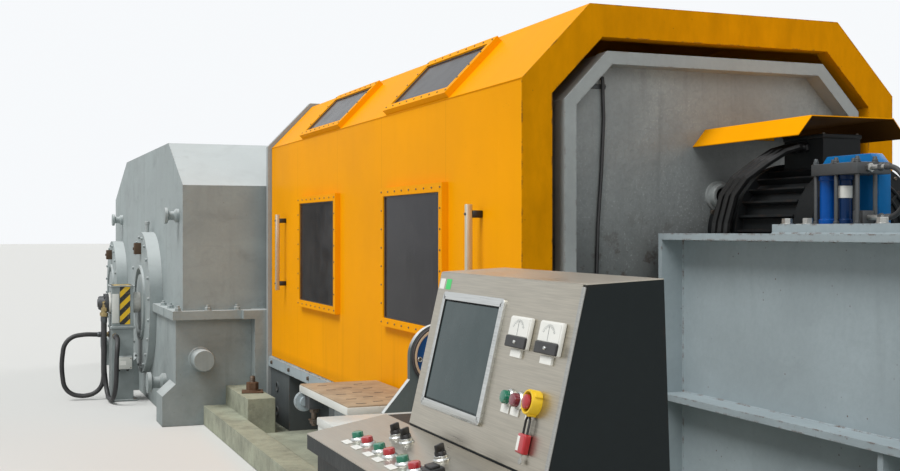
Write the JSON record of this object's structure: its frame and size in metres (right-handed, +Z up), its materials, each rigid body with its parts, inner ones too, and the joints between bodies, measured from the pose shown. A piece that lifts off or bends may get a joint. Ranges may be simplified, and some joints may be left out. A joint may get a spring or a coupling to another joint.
{
  "type": "rolling mill stand",
  "caption": "Tube rolling mill stand with a crank drive housing, a sliding orange hood over the rolling stand, a motor and clamp on the run-out bed, a side table and an operator's desk",
  "frame": {"origin": "On the floor, on the mill's centre line, below the run-out end of the sliding hood", "axes": "+X along the mill towards the run-out, +Y across it away from the operator's desk, +Z up"},
  "size_m": [13.568, 4.5567, 2.699],
  "materials": {
    "concrete": "stained rough concrete",
    "housing_grey": "worn grey machine paint with grime",
    "frame_grey": "light grey paint, chipped edges",
    "bed_grey": "light blue-grey paint, chipped and rust specked",
    "hood_yellow": "glossy orange-yellow paint",
    "dark_steel": "dark machine steel",
    "bare_steel": "bare machined steel",
    "stainless": "brushed stainless sheet",
    "charcoal": "charcoal textured paint",
    "white_paint": "off-white gloss paint",
    "table_steel": "bare table steel, oily and rust tinted",
    "motor_black": "black motor paint",
    "rubber_black": "black hose rubber",
    "brass": "aged brass fittings",
    "clamp_blue": "bright blue gloss paint",
    "pane_tint": "dark tinted pane",
    "handle_alloy": "satin aluminium bar on black blocks",
    "wheel_blue": "blue wheel with a steel hub",
    "rust_steel": "rusty anchor steel",
    "black_plastic": "black instrument plastic"
  },
  "bodies": {
    "mill": {"foundation": "concrete", "crank_housing_base": "housing_grey", "split_flange": "housing_grey", "crank_housing_cover": "housing_grey", "bearing_covers": "housing_grey", "lifting_trunnions": "housing_grey", "side_boss": "housing_grey", "union_bracket": "housing_grey", "rotary_union": "brass", "union_hose_a": "rubber_black", "union_hose_b": "rubber_black", "mill_bed": "frame_grey", "hood_rails": "frame_grey", "rail_columns": "frame_grey", "portal_frame": "frame_grey", "roll_stand": "dark_steel", "working_rolls": "bare_steel", "connecting_rods": "dark_steel", "end_housing": "housing_grey", "end_trim": "frame_grey", "plate_cable": "rubber_black", "drive_motor": "motor_black", "motor_cables": "rubber_black", "motor_canopy": "hood_yellow", "bed_girders": "bed_grey", "bed_end_plates": "bed_grey", "bed_mount_plate": "bed_grey", "clamp_cylinders": "clamp_blue", "clamp_plates": "clamp_blue", "clamp_hose": "rubber_black", "side_table": "table_steel", "wheel_bracket": "dark_steel", "anchor_bolts": "rust_steel", "desk_base": "charcoal", "desk_shelf": "stainless", "desk_head": "charcoal", "desk_front_plate": "stainless", "desk_side_box": "white_paint", "desk_screen": "stainless", "desk_controls": "black_plastic"},
    "hood": {"hood_side_front": "hood_yellow", "hood_side_back": "hood_yellow", "hood_roof_front": "hood_yellow", "hood_roof_back": "hood_yellow", "hood_roof_top": "hood_yellow", "hood_end_ring": "hood_yellow", "hood_far_ring": "hood_yellow", "hood_handles": "handle_alloy", "window_frames": "hood_yellow", "window_panes": "pane_tint"},
    "wheel": {"guide_wheel": "wheel_blue"}
  },
  "joints": [
    {"name": "hood_slide", "type": "slide", "parent": "mill", "child": "hood", "axis": [1, 0, 0], "range_m": [0, 1.5]},
    {"name": "guide_wheel_spin", "type": "hinge", "parent": "mill", "child": "wheel", "pos_m": [-0.28, -1.322, 1.04], "axis": [1, 0, 0], "continuous": true}
  ]
}
